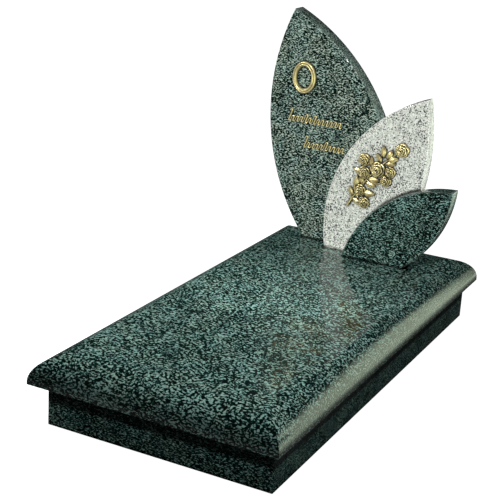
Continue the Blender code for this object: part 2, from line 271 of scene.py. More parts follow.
# Grains of the green granite, as turns about X, Y and Z. Its flecks are long where the
# stretch of an axis is small.
ACROSS = (0.0, 0.0, 0.0)
SLANTING = (0.0, math.radians(-38), 0.0)
STEEP = (0.0, math.radians(-65), 0.0)
SKEWED = (0.0, 0.0, math.radians(14))
SLAB_STRETCH = (0.58, 0.70, 1.2)
UPRIGHT_STRETCH = (0.65, 1.60, 1.60)

# The green stones. They differ in tone, and the tall leaf is the least blue. A higher balance
# gives more pale flecks, arris is how far the ground arrises are paler, partly a painted
# highlight, and gloss is the strength of what the polish mirrors.
Stone = namedtuple("Stone", "name grains stretch balance tone arris gloss")
LEAF_GLOSS = 0.2
KERB_STONE = Stone(
    "kerb_granite", (SLANTING, ACROSS), UPRIGHT_STRETCH, -0.02, (1.25, 2.10, 2.15), 0.0, 0.05
)
SLAB_STONE = Stone("slab_granite", (SKEWED, ACROSS), SLAB_STRETCH, 0.0, (0.68, 1.08, 1.08), 0.0, 0.5)
TALL_STONE = Stone(
    "tall_leaf_granite", (STEEP, ACROSS), UPRIGHT_STRETCH, 0.0, (1.00, 1.05, 1.00), 0.6, LEAF_GLOSS
)
SMALL_STONE = Stone(
    "small_leaf_granite", (SLANTING, STEEP), UPRIGHT_STRETCH, -0.015, (0.32, 0.55, 0.54), 0.7, LEAF_GLOSS
)

# The top of the kerb is darkened in its colour as a painted shadow of the slab's overhang: fully
# down to the full depth below the slab, and no more from the end depth on
OVERHANG_SHADE_FULL = 0.066
OVERHANG_SHADE_END = 0.080
OVERHANG_SHADE_TONE = 0.15

# Flecks of the green granite. Fleck waves is how many waves of noise a fleck's width holds.
FLECK_WAVES = 0.80
FLECK_DETAIL = 1.3
BEND_SCALE = 14.0
BEND_REACH = 0.022
MID_NOISE = (0.5, 0.5, 0.5)
VEIN_SHARE = 0.32
TURNS_SCALE = 5.0
TURNS_STEP = (0.47, 0.53)
CLOUD_SCALE = 9.0
CLOUD_SHARE = 0.13
MIDDLE_STEP = (0.44, 0.51)
LIGHT_STEP = (0.51, 0.60)
VEIN_STEP = (0.012, 0.036)
VEIN_PLACES_SCALE = 26.0
VEIN_PLACES_STEP = (0.48, 0.58)
HUE_SCALE = 12.0
HUE_STEP = (0.40, 0.60)
COOL_HUE = (0.98, 1.0, 1.02)
WARM_HUE = (1.08, 1.0, 0.96)

# Patches, crystals and specks of the white granite, and how far its arrises are paler, partly a painted
# highlight
WHITE_ARRIS_HIGHLIGHT = 0.9
PATCH_SCALE = 90.0
PATCH_STEP = (0.46, 0.68)
CRYSTAL_RANGE = (0.78, 1.12)
SPECK_WAVES = 0.8
SPECK_STEP = (0.565, 0.610)
CLUSTER_SCALE = 30.0
CLUSTER_SHARE = 0.25

# Polish, pale arrises that are partly a painted highlight, and painted contact shade of all the stones
FILM_SCALE = 7.0
FILM_STEP = (0.35, 0.75)
FILM_RANGE = (0.85, 1.5)
GRAIN_ROUGHNESS = 0.05
RIPPLE_SCALE = 60.0
RIPPLE_SHARE = 0.35
BUMP_DISTANCE = 0.0004
STONE_BUMP = 0.06
ARRIS_STEP = (0.505, 0.56)
CONTACT_SHADE_STEP = (0.66, 0.97)
CONTACT_SHADE_SHARE = 0.9
CONTACT_SHADE_SAMPLES = 6

# Gilt bronze. The hollows, dark with patina and painted shade, are looked for this far round a point of
# each casting.
FRAME_HOLLOWS = 0.006
ROW_HOLLOWS = 0.0012
SPRAY_HOLLOWS = 0.020
HOLLOW_SAMPLES = 8
BRONZE_METALLIC = 0.55
BRONZE_BUMP = 0.15
WORN_STEP = (0.49, 0.56)
THIN_SCALE = 38.0
THIN_STEP = (0.46, 0.66)
THIN_SHARE = 0.75
OPEN_STEP = (0.66, 0.96)
CASTING_SCALE = 420.0
CASTING_ROUGHNESS = 0.12
HOLLOW_ROUGHNESS = 0.30


def colour(name, description, default):
    return FloatVectorProperty(
        name=name, description=description, default=default, subtype="COLOR", size=3, min=0.0, max=1.0
    )


def length(name, description, default):
    return FloatProperty(
        name=name, description=description, default=default, unit="LENGTH", min=0.0, precision=4
    )


def factor(name, description, default):
    return FloatProperty(
        name=name, description=description, default=default, subtype="FACTOR", min=0.0, max=1.0
    )


def power(name, description, default):
    return FloatProperty(name=name, description=description, default=default, unit="POWER", min=0.0)


def strength(name, description, default):
    return FloatProperty(name=name, description=description, default=default, min=0.0)


class GraniteProperties(bpy.types.PropertyGroup):
    """Polished granite of the kerb, the slab and the leaves"""

    dark: colour("Dark Streak", "Dark streaks of the green granite", (0.0005, 0.003, 0.002))
    middle: colour("Middle Tone", "Middle tone of the green granite", (0.020, 0.062, 0.053))
    light: colour("Fleck", "Pale flecks of the green granite", (0.480, 0.620, 0.545))
    fleck: length("Fleck Width", "Width of a fleck of the green granite", 0.0044)
    white: colour("White Ground", "Ground of the white granite", (0.900, 0.930, 0.850))
    patch: colour("Grey Patch", "Grey-green patches of the white granite", (0.560, 0.610, 0.520))
    speck: colour("Black Speck", "Black specks of the white granite", (0.010, 0.014, 0.012))
    speck_width: length("Speck Width", "Width of a speck of the white granite", 0.0041)
    # Arrises are paler in colour, partly a painted highlight along the edges
    arris_green: colour("Green Arris", "Ground arrises of the green granite", (0.300, 0.380, 0.340))
    arris_white: colour("White Arris", "Ground arrises of the white granite", (0.850, 0.860, 0.820))
    polish: factor("Polish Roughness", "Roughness of a polished face", 0.09)
    # Contact Reach is how far the painted contact shade reaches
    contact: length("Contact Reach", "How far the dark line along a contact reaches", 0.014)
    arris: length("Leaf Arris", "Radius of the rounded arrises of the leaves", 0.004)
    kerb_arris: length("Kerb Arris", "Radius of the rounded arrises of the kerb stones", 0.003)


class BronzeProperties(bpy.types.PropertyGroup):
    """Gilt bronze of the frame, the rows and the spray"""

    gilt: colour("Gilt", "Polished gilt on the raised parts", (1.000, 0.860, 0.420))
    warm: colour("Warm Tint", "Redder bronze where the gilt is thin", (0.360, 0.190, 0.070))
    # Dark patina and painted shade in the hollows of the gilt
    hollow: colour("Hollow", "Dark tone left in the hollows", (0.030, 0.020, 0.010))
    roughness: factor("Roughness", "Roughness of the polished gilt", 0.24)


class StageProperties(bpy.types.PropertyGroup):
    """Floor and light"""

    floor: colour("Floor", "Colour of the pale floor", (0.900, 0.900, 0.900))
    sky: strength("Soft Light", "Strength of the soft light all round", 0.15)
    headstone_spot: power("Headstone Spot", "Power of the spot on the headstone", 500.0)
    slab_spot: power("Slab Spot", "Power of the spot over the slab", 740.0)
    side_spot: power("Side Spot", "Power of the spot on the right sides of the leaves", 170.0)
    gilt_spot: power("Gilt Spot", "Power of the spot that only the gilt mirrors", 260.0)
    panel: strength("Panel", "Brightness of the pale panel that the polished moulding mirrors", 2.2)
    dim: colour("Dim Surroundings", "What the other polished faces mirror", (0.02, 0.045, 0.04))
    bounce: factor("Floor Bounce", "Share of its light that the floor throws back on the stones", 0.20)
    mirrored: strength("Mirrored Floor", "Brightness of the floor in the polish of the right side", 1.7)
    glow: strength("Floor Glow", "How far the floor is lifted to white round the monument", 1.0)


class MonumentProperties(bpy.types.PropertyGroup):
    """Everything that can be set on the monument"""

    granite: PointerProperty(type=GraniteProperties, name="Granite", description="Stone colours and sizes")
    bronze: PointerProperty(type=BronzeProperties, name="Bronze", description="Bronze colours")
    stage: PointerProperty(type=StageProperties, name="Stage", description="Floor and light")


# Meshes


def bridge_rings(bm, rings, closed=True):
    """Join rings of equal length, one after the other, and return their vertices."""
    made = [[bm.verts.new(point) for point in ring] for ring in rings]
    count = len(made[0]) if closed else len(made[0]) - 1
    for lower, upper in zip(made[:-1], made[1:]):
        for i in range(count):
            j = (i + 1) % len(lower)
            bm.faces.new((lower[i], lower[j], upper[j], upper[i]))
    return made


def capped_rings(bm, rings):
    """A closed body through the rings, with a face on the first and on the last."""
    made = bridge_rings(bm, rings)
    bm.faces.new(reversed(made[0]))
    bm.faces.new(made[-1])
    return made


def thick_sheet(bm, grid, thickness):
    """A closed sheet from a grid of points, with its thickness towards the stone."""
    back = Vector((0.0, thickness, 0.0))
    front = bridge_rings(bm, grid, closed=False)
    rear = bridge_rings(bm, [[point + back for point in row] for row in grid], closed=False)
    border = [(i, 0) for i in range(len(grid))]
    border += [(len(grid) - 1, j) for j in range(1, len(grid[0]))]
    border += [(i, len(grid[0]) - 1) for i in range(len(grid) - 2, -1, -1)]
    border += [(0, j) for j in range(len(grid[0]) - 2, 0, -1)]
    for (i, j), (k, m) in zip(border, border[1:] + border[:1]):
        bm.faces.new((front[i][j], front[k][m], rear[k][m], rear[i][j]))


def mark_sharp(bm, angle):
    """Keep an edge crisp where its two faces turn by more than the angle."""
    for edge in bm.edges:
        if len(edge.link_faces) == 2 and edge.calc_face_angle(0.0) > angle:
            edge.smooth = False


def finish_piece(name, bm, material, node, sharp=STONE_SHARP):
    """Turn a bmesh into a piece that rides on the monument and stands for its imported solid."""
    bmesh.ops.recalc_face_normals(bm, faces=bm.faces)
    mark_sharp(bm, sharp)
    for face in bm.faces:
        face.smooth = True
    mesh = bpy.data.meshes.new(name)
    bm.to_mesh(mesh)
    bm.free()
    mesh.materials.append(material)
    piece = bpy.data.objects.new(name, mesh)
    bpy.context.scene.collection.objects.link(piece)
    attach(piece, "root")
    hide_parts(node)
    return piece


def smooth_line(points, steps):
    """A line through all the points, rounded between them."""
    points = [Vector(point) for point in points]
    ends = [points[0] * 2 - points[1]] + points + [points[-1] * 2 - points[-2]]
    line = []
    for before, start, end, after in zip(ends, ends[1:], ends[2:], ends[3:]):
        for step in range(steps):
            t = step / steps
            pull = (end - before) * t + (before * 2 - start * 5 + end * 4 - after) * t**2
            pull += (start * 3 - before - end * 3 + after) * t**3
            line.append(start + pull / 2)
    return line + [points[-1]]


# Stones


def kerb_stone(node, material, arris):
    """A plain block with all its arrises rounded."""
    low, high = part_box(node)
    bm = bmesh.new()
    bmesh.ops.create_cube(bm, size=1.0)
    for vert in bm.verts:
        for axis in range(3):
            vert.co[axis] = high[axis] if vert.co[axis] > 0 else low[axis]
    bmesh.ops.bevel(bm, geom=bm.edges[:], offset=arris, segments=ARRIS_STEPS, profile=0.5, affect="EDGES")
    for face in sorted(bm.faces, key=lambda face: -face.calc_area())[:6]:
        for edge in face.edges:
            edge.smooth = False
    return finish_piece(node + "_stone", bm, material, node)


def slab_profile():
    """The slab's edge from the bottom up, as (inset, height)."""
    thickness = SLAB_HIGH.z - SLAB_LOW.z
    rise = thickness - SLAB_BAND
    profile = [(SLAB_ARRIS + FLAT_MARGIN, 0.0)]
    for step in range(ARRIS_STEPS + 1):
        angle = math.pi / 2 * step / ARRIS_STEPS
        profile.append((SLAB_ARRIS * (1 - math.sin(angle)), SLAB_ARRIS * (1 - math.cos(angle))))
    for step in range(MOULDING_STEPS + 1):
        angle = math.pi / 2 * step / MOULDING_STEPS
        inset = SLAB_MOULDING * (1 - math.cos(angle))
        profile.append((inset, SLAB_BAND + rise * math.sin(angle)))
    profile.append((SLAB_MOULDING + FLAT_MARGIN, thickness))
    return profile


def covering_slab(material):
    """The slab with its moulding mitred at the corners."""
    centre = (SLAB_LOW + SLAB_HIGH) / 2
    half = (SLAB_HIGH - SLAB_LOW) / 2
    rings = []
    for inset, height in slab_profile():
        x, y, z = half.x - inset, half.y - inset, SLAB_LOW.z + height
        corners = ((-x, -y), (x, -y), (x, y), (-x, y))
        rings.append([(centre.x + cx, centre.y + cy, z) for cx, cy in corners])
    bm = bmesh.new()
    made = capped_rings(bm, rings)
    bmesh.ops.recalc_face_normals(bm, faces=bm.faces)
    for lower, upper in zip(made[:-1], made[1:]):
        for below, above in zip(lower, upper):
            edge = bm.edges.get((below, above))
            edge.smooth = False
    return finish_piece("slab_stone", bm, material, "covering_slab")


def headstone_point(share):
    """A place (x, height over the slab) from shares of the headstone's height."""
    return Vector(share) * HEADSTONE_HEIGHT


def arc_circle(root, tip, bulge, side):
    """Centre and radius of the arc from root to tip that stands out by bulge on one side."""
    half = (tip - root).length / 2
    radius = (half * half + bulge * bulge) / (2 * bulge)
    along = (tip - root).normalized()
    outward = Vector((along.y, -along.x)) * side
    return (root + tip) / 2 + outward * (bulge - radius), radius


def leaf_outline(leaf, inset):
    """Points (x, height over the slab) round a leaf, from its right foot over the tip."""
    root, tip = headstone_point(leaf.root), headstone_point(leaf.tip)
    right, right_radius = arc_circle(root, tip, leaf.bulge_right * HEADSTONE_HEIGHT, 1)
    left, left_radius = arc_circle(root, tip, leaf.bulge_left * HEADSTONE_HEIGHT, -1)
    right_radius -= inset
    left_radius -= inset
    apart = left - right
    reach = (right_radius**2 - left_radius**2 + apart.length_squared) / (2 * apart.length)
    across = apart.normalized()
    upward = Vector((across.y, -across.x))
    if upward.y < 0:
        upward.negate()
    tip = right + across * reach + upward * math.sqrt(right_radius**2 - reach**2)
    points = []
    foot_angle = math.asin(-right.y / right_radius)
    tip_angle = math.atan2(tip.y - right.y, tip.x - right.x)
    for step in range(LEAF_STEPS):
        angle = foot_angle + (tip_angle - foot_angle) * step / LEAF_STEPS
        points.append(right + right_radius * Vector((math.cos(angle), math.sin(angle))))
    tip_angle = math.atan2(tip.y - left.y, tip.x - left.x)
    foot_angle = math.pi - math.asin(-left.y / left_radius)
    for step in range(LEAF_STEPS + 1):
        angle = tip_angle + (foot_angle - tip_angle) * step / LEAF_STEPS
        points.append(left + left_radius * Vector((math.cos(angle), math.sin(angle))))
    return points


def leaf_stone(leaf, material, arris):
    """An upright leaf with rounded arrises and a narrow flat margin inside them."""
    turns = [math.pi / 2 * step / ARRIS_STEPS for step in range(ARRIS_STEPS + 1)]
    front = [(arris * (1 - math.sin(turn)), arris * (1 - math.cos(turn))) for turn in turns]
    front.insert(0, (arris + FLAT_MARGIN, 0.0))
    sections = [(inset, leaf.low.y + depth) for inset, depth in front]
    sections += [(inset, leaf.high.y - depth) for inset, depth in reversed(front)]
    rings = []
    for inset, y in sections:
        rings.append([(point.x, y, LEAF_BASE + point.y) for point in leaf_outline(leaf, inset)])
    bm = bmesh.new()
    capped_rings(bm, rings)
    return finish_piece(leaf.node + "_stone", bm, material, leaf.node)


# Bronze


def photo_frame(material):
    """The oval bead round the empty photograph seat."""
    centre = (FRAME_LOW + FRAME_HIGH) / 2
    half_width = (FRAME_HIGH.x - FRAME_LOW.x) / 2
    half_height = (FRAME_HIGH.z - FRAME_LOW.z) / 2
    depth = FRAME_HIGH.y - FRAME_LOW.y
    rings = []
    for share, height in smooth_line(FRAME_SECTION, SECTION_STEPS):
        inset = FRAME_RIM * (1 - min(share, 1.0))
        ring = []
        for step in range(FRAME_STEPS):
            angle = 2 * math.pi * step / FRAME_STEPS
            x = centre.x + (half_width - inset) * math.cos(angle)
            z = centre.z + (half_height - inset) * math.sin(angle)
            ring.append((x, FRAME_HIGH.y - depth * min(height, 1.0), z))
        rings.append(ring)
    bm = bmesh.new()
    made = bridge_rings(bm, rings)
    for i in range(FRAME_STEPS):
        j = (i + 1) % FRAME_STEPS
        bm.faces.new((made[-1][i], made[-1][j], made[0][j], made[0][i]))
    return finish_piece("photo_frame_bead", bm, material, "photo_frame", GILT_SHARP)


def row_path(row):
    """Centre line of a row: upright strokes joined by round turns, then slanted."""
    radius = STROKE_PITCH / 2
    path = []
    for stroke in range(row.strokes):
        turn = stroke // 2
        centre_x = (stroke + 0.5) * STROKE_PITCH
        if stroke % 2:
            centre_z, side = radius, -1
        else:
            height = STROKE_HEIGHT
            if turn in row.tall_turns:
                height = TALL_STROKE_HEIGHT if turn else FIRST_STROKE_HEIGHT
            centre_z, side = height - radius, 1
        for step in range(TURN_STEPS + 1):
            angle = math.pi * (1 - step / TURN_STEPS)
            x = centre_x + radius * math.cos(angle)
            path.append(Vector((x, centre_z + side * radius * math.sin(angle))))
    slant = math.tan(STROKE_SLANT)
    return [Vector((point.x + slant * point.y, point.y)) for point in path]


def gilt_row(row, material):
    """One joined ribbon of slanted strokes, broad on the way down and narrow on the way up."""
    path = row_path(row)
    start = headstone_point(row.start)
    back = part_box(row.node)[1].y
    rings = []
    for i, point in enumerate(path):
        ahead = path[min(i + 1, len(path) - 1)] - path[max(i - 1, 0)]
        ahead.normalize()
        falling = 0.5 - 0.5 * ahead.y
        half = (STROKE_NARROW + (STROKE_WIDE - STROKE_NARROW) * falling) / 2
        normal = Vector((-ahead.y, ahead.x))
        ring = []
        for side, depth in STROKE_SECTION:
            spot = start + point + normal * half * side
            ring.append((spot.x, back - STROKE_DEPTH * depth, LEAF_BASE + spot.y))
        rings.append(ring)
    bm = bmesh.new()
    capped_rings(bm, rings)
    return finish_piece(row.node + "_strokes", bm, material, row.node, GILT_SHARP)


def spray_point(along, aside, lift=0.0):
    """A place on the white leaf's face, from shares along and aside, and a height off it."""
    run = Vector((math.sin(SPRAY_LEAN), math.cos(SPRAY_LEAN)))
    left = Vector((-run.y, run.x))
    foot = headstone_point(WHITE.tip) + Vector(SPRAY_FOOT_FROM_TIP)
    spot = foot + (run * along + left * aside) * SPRAY_LENGTH
    return Vector((spot.x, SPRAY_HIGH.y - lift, LEAF_BASE + spot.y))


def stem_spot(share):
    """Shares (along, aside) of the main stem, which bows to the left."""
    return share, STEM_BOW * math.sin(math.pi * share)


def stem_radius(radius, share):
    return radius * (1 - STEM_TAPER * share)


def add_stem(bm, spots, radius):
    """A round rod through the spots that rests on the stone, thinner towards its end."""
    centres = [spray_point(along, aside, radius) for along, aside in spots]
    rings = []
    for i, centre in enumerate(centres):
        ahead = centres[min(i + 1, len(centres) - 1)] - centres[max(i - 1, 0)]
        side = ahead.cross(Vector((0, 1, 0))).normalized()
        out = Vector((0, -1, 0))
        thin = stem_radius(radius, i / (len(centres) - 1))
        ring = []
        for step in range(STEM_SIDES):
            angle = 2 * math.pi * (step + 0.5) / STEM_SIDES
            ring.append(centre + side * thin * math.cos(angle) + out * thin * math.sin(angle))
        rings.append(ring)
    capped_rings(bm, rings)


def add_thorn(bm, share, side_sign):
    """A short thorn on the main stem that points out and a little towards the blooms."""
    radius = STEM_RADIUS * STEM_GIRTH
    centre = spray_point(*stem_spot(share), radius)
    ahead = (spray_point(*stem_spot(share + 0.01), radius) - centre).normalized()
    side = ahead.cross(Vector((0, 1, 0))).normalized() * side_sign
    point = (side * THORN_ASIDE + Vector((0, -THORN_OFF, 0)) + ahead * THORN_AHEAD).normalized()
    root = centre + side * stem_radius(radius, share) * THORN_SINK
    rings = []
    for reach, width in THORN_STATIONS:
        middle = root + point * THORN_LENGTH * reach
        ring = []
        for step in range(THORN_SIDES):
            angle = 2 * math.pi * step / THORN_SIDES
            lean = ahead * math.cos(angle) + point.cross(ahead) * math.sin(angle)
            ring.append(middle + lean * THORN_LENGTH * width)
        rings.append(ring)
    capped_rings(bm, rings)


def petal_height(tier, along):
    """Height of a petal's middle: it rises to a crest and rolls down at the lip."""
    if along < PETAL_CREST_AT:
        return tier.foot + (tier.crest - tier.foot) * math.sin(math.pi / 2 * along / PETAL_CREST_AT)
    roll = (along - PETAL_CREST_AT) / (1 - PETAL_CREST_AT)
    return tier.crest - (tier.crest - tier.lip) * roll**2


def add_petal(bm, centre, radius, tier, turn, seed):
    """One petal as a thin cupped sheet, tucked under its neighbour on one side."""
    half_angle = math.pi / tier.petals * PETAL_OVERLAP
    grid = []
    for i in range(PETAL_ALONG + 1):
        along = i / PETAL_ALONG
        row = []
        for j in range(PETAL_ACROSS + 1):
            across = 2 * j / PETAL_ACROSS - 1
            rounding = 1 - PETAL_ROUNDING[0] * across**2 - PETAL_ROUNDING[1] * across**4
            place = Vector((across * WAVES_ACROSS, along * WAVES_ALONG, seed))
            wave = noise.noise(place) * PETAL_WAVE
            reach = tier.inner + (tier.outer * (rounding + wave * along) - tier.inner) * along
            height = petal_height(tier, along) + PETAL_TUCK * across * along
            height += wave * along
            angle = turn + across * half_angle
            flat = Vector((math.cos(angle), 0, math.sin(angle))) * reach * radius
            row.append(centre + flat - Vector((0, SPRAY_DEPTH * min(height, 1.0), 0)))
        grid.append(row)
    thick_sheet(bm, grid, PETAL_THICKNESS)


def add_dome(bm, centre, reach, foot, height):
    """A closed round swelling from the foot height up to the given height."""
    rings = []
    for step in range(DOME_STEPS + 1):
        angle = math.pi / 2 * step / DOME_STEPS
        spread = reach * max(math.cos(angle), DOME_TOP)
        lift = SPRAY_DEPTH * (foot + (height - foot) * math.sin(angle))
        ring = []
        for k in range(DOME_SIDES):
            turn = 2 * math.pi * k / DOME_SIDES
            offset = Vector((math.cos(turn), 0, math.sin(turn))) * spread
            ring.append(centre + offset - Vector((0, lift, 0)))
        rings.append(ring)
    capped_rings(bm, rings)


def add_rose(bm, spot, seed):
    """An open rose: tiers of petals over a calyx, round a small bud."""
    radius = spot.size * SPRAY_LENGTH
    centre = spray_point(spot.along, spot.aside)
    add_dome(bm, centre, radius * CALYX_REACH, 0.0, CALYX_HEIGHT)
    add_dome(bm, centre, radius * BUD_REACH, CALYX_HEIGHT, BUD_HEIGHT)
    for number, tier in enumerate(PETAL_TIERS):
        for petal in range(tier.petals):
            turn = spot.turn + 2 * math.pi * (petal + tier.phase) / tier.petals
            add_petal(bm, centre, radius, tier, turn, seed + number * TIER_SEED + petal * PETAL_SEED)


def ridge(value):
    """A row of narrow ridges, one for each whole number of the value."""
    away = abs((value + 0.5) % 1.0 - 0.5)
    return max(0.0, 1 - away * VEIN_SHARPNESS)


def add_spray_leaf(bm, spot):
    """A toothed rose leaf with a raised rib and side veins."""
    size = spot.size * SPRAY_LENGTH
    direction = SPRAY_LEAN - spot.turn
    run = Vector((math.sin(direction), 0, math.cos(direction)))
    side = Vector((-run.z, 0, run.x))
    base = spray_point(spot.along, spot.aside)
    grid = []
    for along, width, height in smooth_line(LEAF_STATIONS, LEAF_STATION_STEPS):
        tooth = 1 + TOOTH_DEPTH * ((along * LEAF_TEETH) % 1.0 - 0.5)
        row = []
        for j in range(LEAF_ACROSS + 1):
            across = 2 * j / LEAF_ACROSS - 1
            from_rib = abs(across)
            lift = height * (LEAF_SHOULDER + (1 - LEAF_SHOULDER) * (1 - from_rib) ** LEAF_CUPPING)
            lift -= LEAF_RIM_DROP * from_rib**6
            vein = ridge(along * LEAF_VEINS - from_rib * VEIN_SLANT) * (1 - from_rib**4)
            rib = RIB_HEIGHT * max(0.0, 1 - from_rib * RIB_SHARPNESS)
            lift += VEIN_HEIGHT * max(vein * min(width, 1.0), rib)
            reach = across * (tooth if from_rib > TEETH_FROM else 1)
            edge = side * size * LEAF_HALF_WIDTH * width * reach
            row.append(base + run * along * size + edge - Vector((0, SPRAY_DEPTH * lift, 0)))
        grid.append(row)
    thick_sheet(bm, grid, LEAF_THICKNESS)


def bronze_spray(material):
    """One casting of roses, leaves, twigs and a thorny stem."""
    bm = bmesh.new()
    main_stem = [stem_spot(step / STEM_STEPS) for step in range(STEM_STEPS + 1)]
    add_stem(bm, main_stem, STEM_RADIUS * STEM_GIRTH)
    for thorn in range(THORNS):
        add_thorn(bm, FIRST_THORN + THORN_REACH * thorn / THORNS, -1 if thorn % 2 else 1)
    for twig in TWIGS:
        start = stem_spot(twig.start)
        bend = ((start[0] * 2 + twig.end[0]) / 3, (start[1] + twig.end[1] * 2) / 3)
        add_stem(bm, smooth_line([start, bend, twig.end], TWIG_STEPS), STEM_RADIUS)
    for number, spot in enumerate(BLOOMS):
        add_rose(bm, spot, number * BLOOM_SEED)
    for spot in LEAVES:
        add_spray_leaf(bm, spot)
    return finish_piece("rose_spray", bm, material, "bronze_spray", SPRAY_SHARP)


# Materials


def add_node(tree, kind, inputs=None, **settings):
    """Add a node, set its attributes, and set or link its inputs."""
    made = tree.nodes.new(kind)
    for name, value in settings.items():
        setattr(made, name, value)
    for name, value in (inputs or {}).items():
        if isinstance(value, bpy.types.NodeSocket):
            tree.links.new(value, made.inputs[name])
        else:
            made.inputs[name].default_value = value
    return made


def add_math(tree, operation, *values, clamp=False):
    """The output of a Math node with the values, numbers or sockets, as its inputs."""
    return add_node(
        tree, "ShaderNodeMath", dict(enumerate(values)), operation=operation, use_clamp=clamp
    ).outputs[0]


def fill_socket(tree, socket, value):
    """Link a socket to another, or set it to a number, a vector or a colour's three channels."""
    if isinstance(value, bpy.types.NodeSocket):
        tree.links.new(value, socket)
    elif isinstance(value, (int, float, Vector)):
        socket.default_value = value
    else:
        socket.default_value = (*value, 1.0)


def add_mix(tree, share, first, second, blend="MIX"):
    """The output of a colour mix, with the share of the second colour."""
    made = add_node(tree, "ShaderNodeMix", data_type="RGBA", blend_type=blend)
    fill_socket(tree, made.inputs[0], share)
    fill_socket(tree, made.inputs[6], first)
    fill_socket(tree, made.inputs[7], second)
    return made.outputs[2]


def add_smooth(tree, value, low, high, to_low=0.0, to_high=1.0):
    """A smooth step of the value between low and high."""
    return add_node(
        tree,
        "ShaderNodeMapRange",
        {"Value": value, "From Min": low, "From Max": high, "To Min": to_low, "To Max": to_high},
        interpolation_type="SMOOTHSTEP",
    ).outputs["Result"]


def add_noise(tree, vector, scale, detail=2.0, roughness=0.5):
    """The value of a noise texture."""
    return add_node(
        tree,
        "ShaderNodeTexNoise",
        {"Vector": vector, "Scale": scale, "Detail": detail, "Roughness": roughness},
    ).outputs[0]


def made_once(build):
    """Build a node group when a material first asks for it, and hand out the same one after."""

    @wraps(build)
    def group():
        name = build.__name__.replace("_", " ").title()
        return bpy.data.node_groups.get(name) or build(name)

    return group


def new_group(name, inputs, outputs):
    """An empty shader node group, with its input and output sockets."""
    group = bpy.data.node_groups.new(name, "ShaderNodeTree")
    for label, kind, default in inputs:
        socket = group.interface.new_socket(label, in_out="INPUT", socket_type="NodeSocket" + kind)
        if default is not None:
            socket.default_value = default
    for label, kind in outputs:
        group.interface.new_socket(label, in_out="OUTPUT", socket_type="NodeSocket" + kind)
    source = group.nodes.new("NodeGroupInput")
    sink = group.nodes.new("NodeGroupOutput")
    return group, source.outputs, sink.inputs


def put_out(group, result, **values):
    """Link the values to the group's outputs of the same names, and return the group."""
    for name, value in values.items():
        group.links.new(value, result[name])
    return group


@made_once
def wavy_flecks(name):
    """Node group: green granite whose pale flecks run along two grains that take turns."""
    group, given, result = new_group(
        name,
        [
            ("Vector", "Vector", None),
            ("First Grain", "Vector", (0.0, 0.0, 0.0)),
            ("Second Grain", "Vector", (0.0, 0.0, 0.0)),
            ("Stretch", "Vector", (1.0, 1.0, 1.0)),
            ("Fleck Width", "Float", 0.006),
            ("Balance", "Float", 0.0),
            ("Dark", "Color", (0.0, 0.0, 0.0, 1.0)),
            ("Middle", "Color", (0.1, 0.1, 0.1, 1.0)),
            ("Light", "Color", (0.5, 0.5, 0.5, 1.0)),
        ],
        [("Color", "Color"), ("Fleck", "Float")],
    )
    place = given["Vector"]
    bend = add_node(group, "ShaderNodeTexNoise", {"Vector": place, "Scale": BEND_SCALE, "Detail": 1.0})
    centred = add_node(
        group, "ShaderNodeVectorMath", {0: bend.outputs["Color"], 1: MID_NOISE}, operation="SUBTRACT"
    )
    shift = add_node(
        group, "ShaderNodeVectorMath", {0: centred.outputs[0], "Scale": BEND_REACH}, operation="SCALE"
    )
    moved = add_node(
        group, "ShaderNodeVectorMath", {0: place, 1: shift.outputs[0]}, operation="ADD"
    ).outputs[0]
    scale = add_math(group, "DIVIDE", FLECK_WAVES, given["Fleck Width"])
    grains, waves = [], []
    for label in ("First Grain", "Second Grain"):
        turned = add_node(
            group,
            "ShaderNodeMapping",
            {"Vector": moved, "Rotation": given[label], "Scale": given["Stretch"]},
        ).outputs[0]
        grains.append(add_noise(group, turned, scale, FLECK_DETAIL, 0.6))
        waves.append(add_noise(group, turned, add_math(group, "MULTIPLY", scale, VEIN_SHARE), 1.0, 0.5))
    turns = add_smooth(group, add_noise(group, place, TURNS_SCALE, 1.0, 0.5), *TURNS_STEP)
    mixed = add_node(group, "ShaderNodeMix", {0: turns, 2: grains[0], 3: grains[1]}).outputs[0]
    wave = add_node(group, "ShaderNodeMix", {0: turns, 2: waves[0], 3: waves[1]}).outputs[0]
    cloud = add_noise(group, place, CLOUD_SCALE, 2.0, 0.6)
    shade = add_math(group, "MULTIPLY", add_math(group, "SUBTRACT", cloud, 0.5), CLOUD_SHARE)
    value = add_math(group, "ADD", add_math(group, "ADD", mixed, shade), given["Balance"])
    lower = add_smooth(group, value, *MIDDLE_STEP)
    upper = add_smooth(group, value, *LIGHT_STEP)
    ground = add_mix(group, lower, given["Dark"], given["Middle"])
    flecked = add_mix(group, upper, ground, given["Light"])
    from_line = add_math(group, "ABSOLUTE", add_math(group, "SUBTRACT", wave, 0.5))
    line = add_smooth(group, from_line, *VEIN_STEP, 1.0, 0.0)
    places = add_noise(group, place, VEIN_PLACES_SCALE, 2.0, 0.5)
    comes = add_smooth(group, places, *VEIN_PLACES_STEP)
    veined = add_mix(group, add_math(group, "MULTIPLY", line, comes), flecked, given["Dark"])
    tint = add_smooth(group, add_noise(group, place, HUE_SCALE, 2.0, 0.6), *HUE_STEP)
    hue = add_mix(group, tint, COOL_HUE, WARM_HUE)
    stone = add_mix(group, 1.0, veined, hue, "MULTIPLY")
    return put_out(group, result, Color=stone, Fleck=upper)


